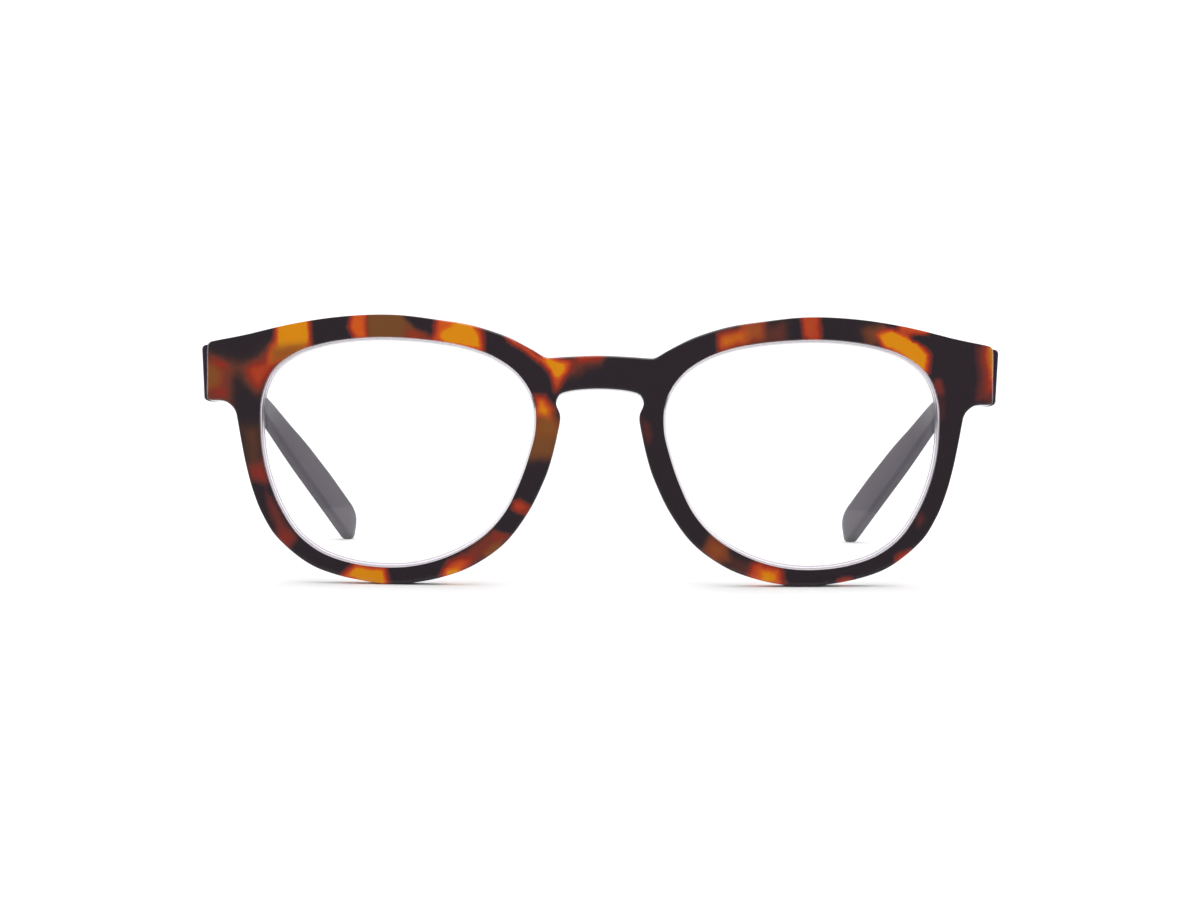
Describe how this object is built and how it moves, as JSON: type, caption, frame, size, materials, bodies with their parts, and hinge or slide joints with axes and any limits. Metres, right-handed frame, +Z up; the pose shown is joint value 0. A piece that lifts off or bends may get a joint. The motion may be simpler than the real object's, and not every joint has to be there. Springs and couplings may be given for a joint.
{
  "type": "reading glasses",
  "caption": "Reading glasses with a tortoiseshell keyhole-bridge front, clear lenses and dark temples that fold on five-barrel hinges.",
  "frame": {"origin": "centre of the bounding box's base, on the surface that the glasses stand on", "axes": "+Z up; the front faces -Y and the temples run back along +Y; +X is the wearer's left"},
  "size_m": [0.1474, 0.1422, 0.0476],
  "materials": {
    "tortoiseshell": "polished",
    "pad_tortoiseshell": "polished",
    "clear_lens": "polished",
    "dark_temple": "polished",
    "nickel_wire": "drawn",
    "hinge_nickel": "satin",
    "screw_steel": "polished"
  },
  "bodies": {
    "front": {"front_frame": "tortoiseshell", "lens_left": "clear_lens", "lens_right": "clear_lens", "nose_pad_left": "pad_tortoiseshell", "nose_pad_right": "pad_tortoiseshell", "front_hinge_leaf_left": "hinge_nickel", "front_hinge_leaf_right": "hinge_nickel", "hinge_screw_left": "screw_steel", "hinge_screw_right": "screw_steel", "front_leaf_screw_upper_left": "screw_steel", "front_leaf_screw_lower_left": "screw_steel", "front_leaf_screw_upper_right": "screw_steel", "front_leaf_screw_lower_right": "screw_steel"},
    "left_temple": {"temple_left": "dark_temple", "core_wire_left": "nickel_wire", "temple_hinge_leaf_left": "hinge_nickel", "temple_leaf_screw_front_left": "screw_steel", "temple_leaf_screw_rear_left": "screw_steel"},
    "right_temple": {"temple_right": "dark_temple", "core_wire_right": "nickel_wire", "temple_hinge_leaf_right": "hinge_nickel", "temple_leaf_screw_front_right": "screw_steel", "temple_leaf_screw_rear_right": "screw_steel"}
  },
  "joints": [
    {"name": "left_temple_fold", "type": "hinge", "parent": "front", "child": "left_temple", "pos_m": [0.06728, -0.05711, 0.03702], "axis": [0, 0.083, 0.9965], "range_deg": [0, 86]},
    {"name": "right_temple_fold", "type": "hinge", "parent": "front", "child": "right_temple", "pos_m": [-0.06728, -0.05711, 0.03702], "axis": [0, -0.083, -0.9965], "range_deg": [0, 77]}
  ]
}
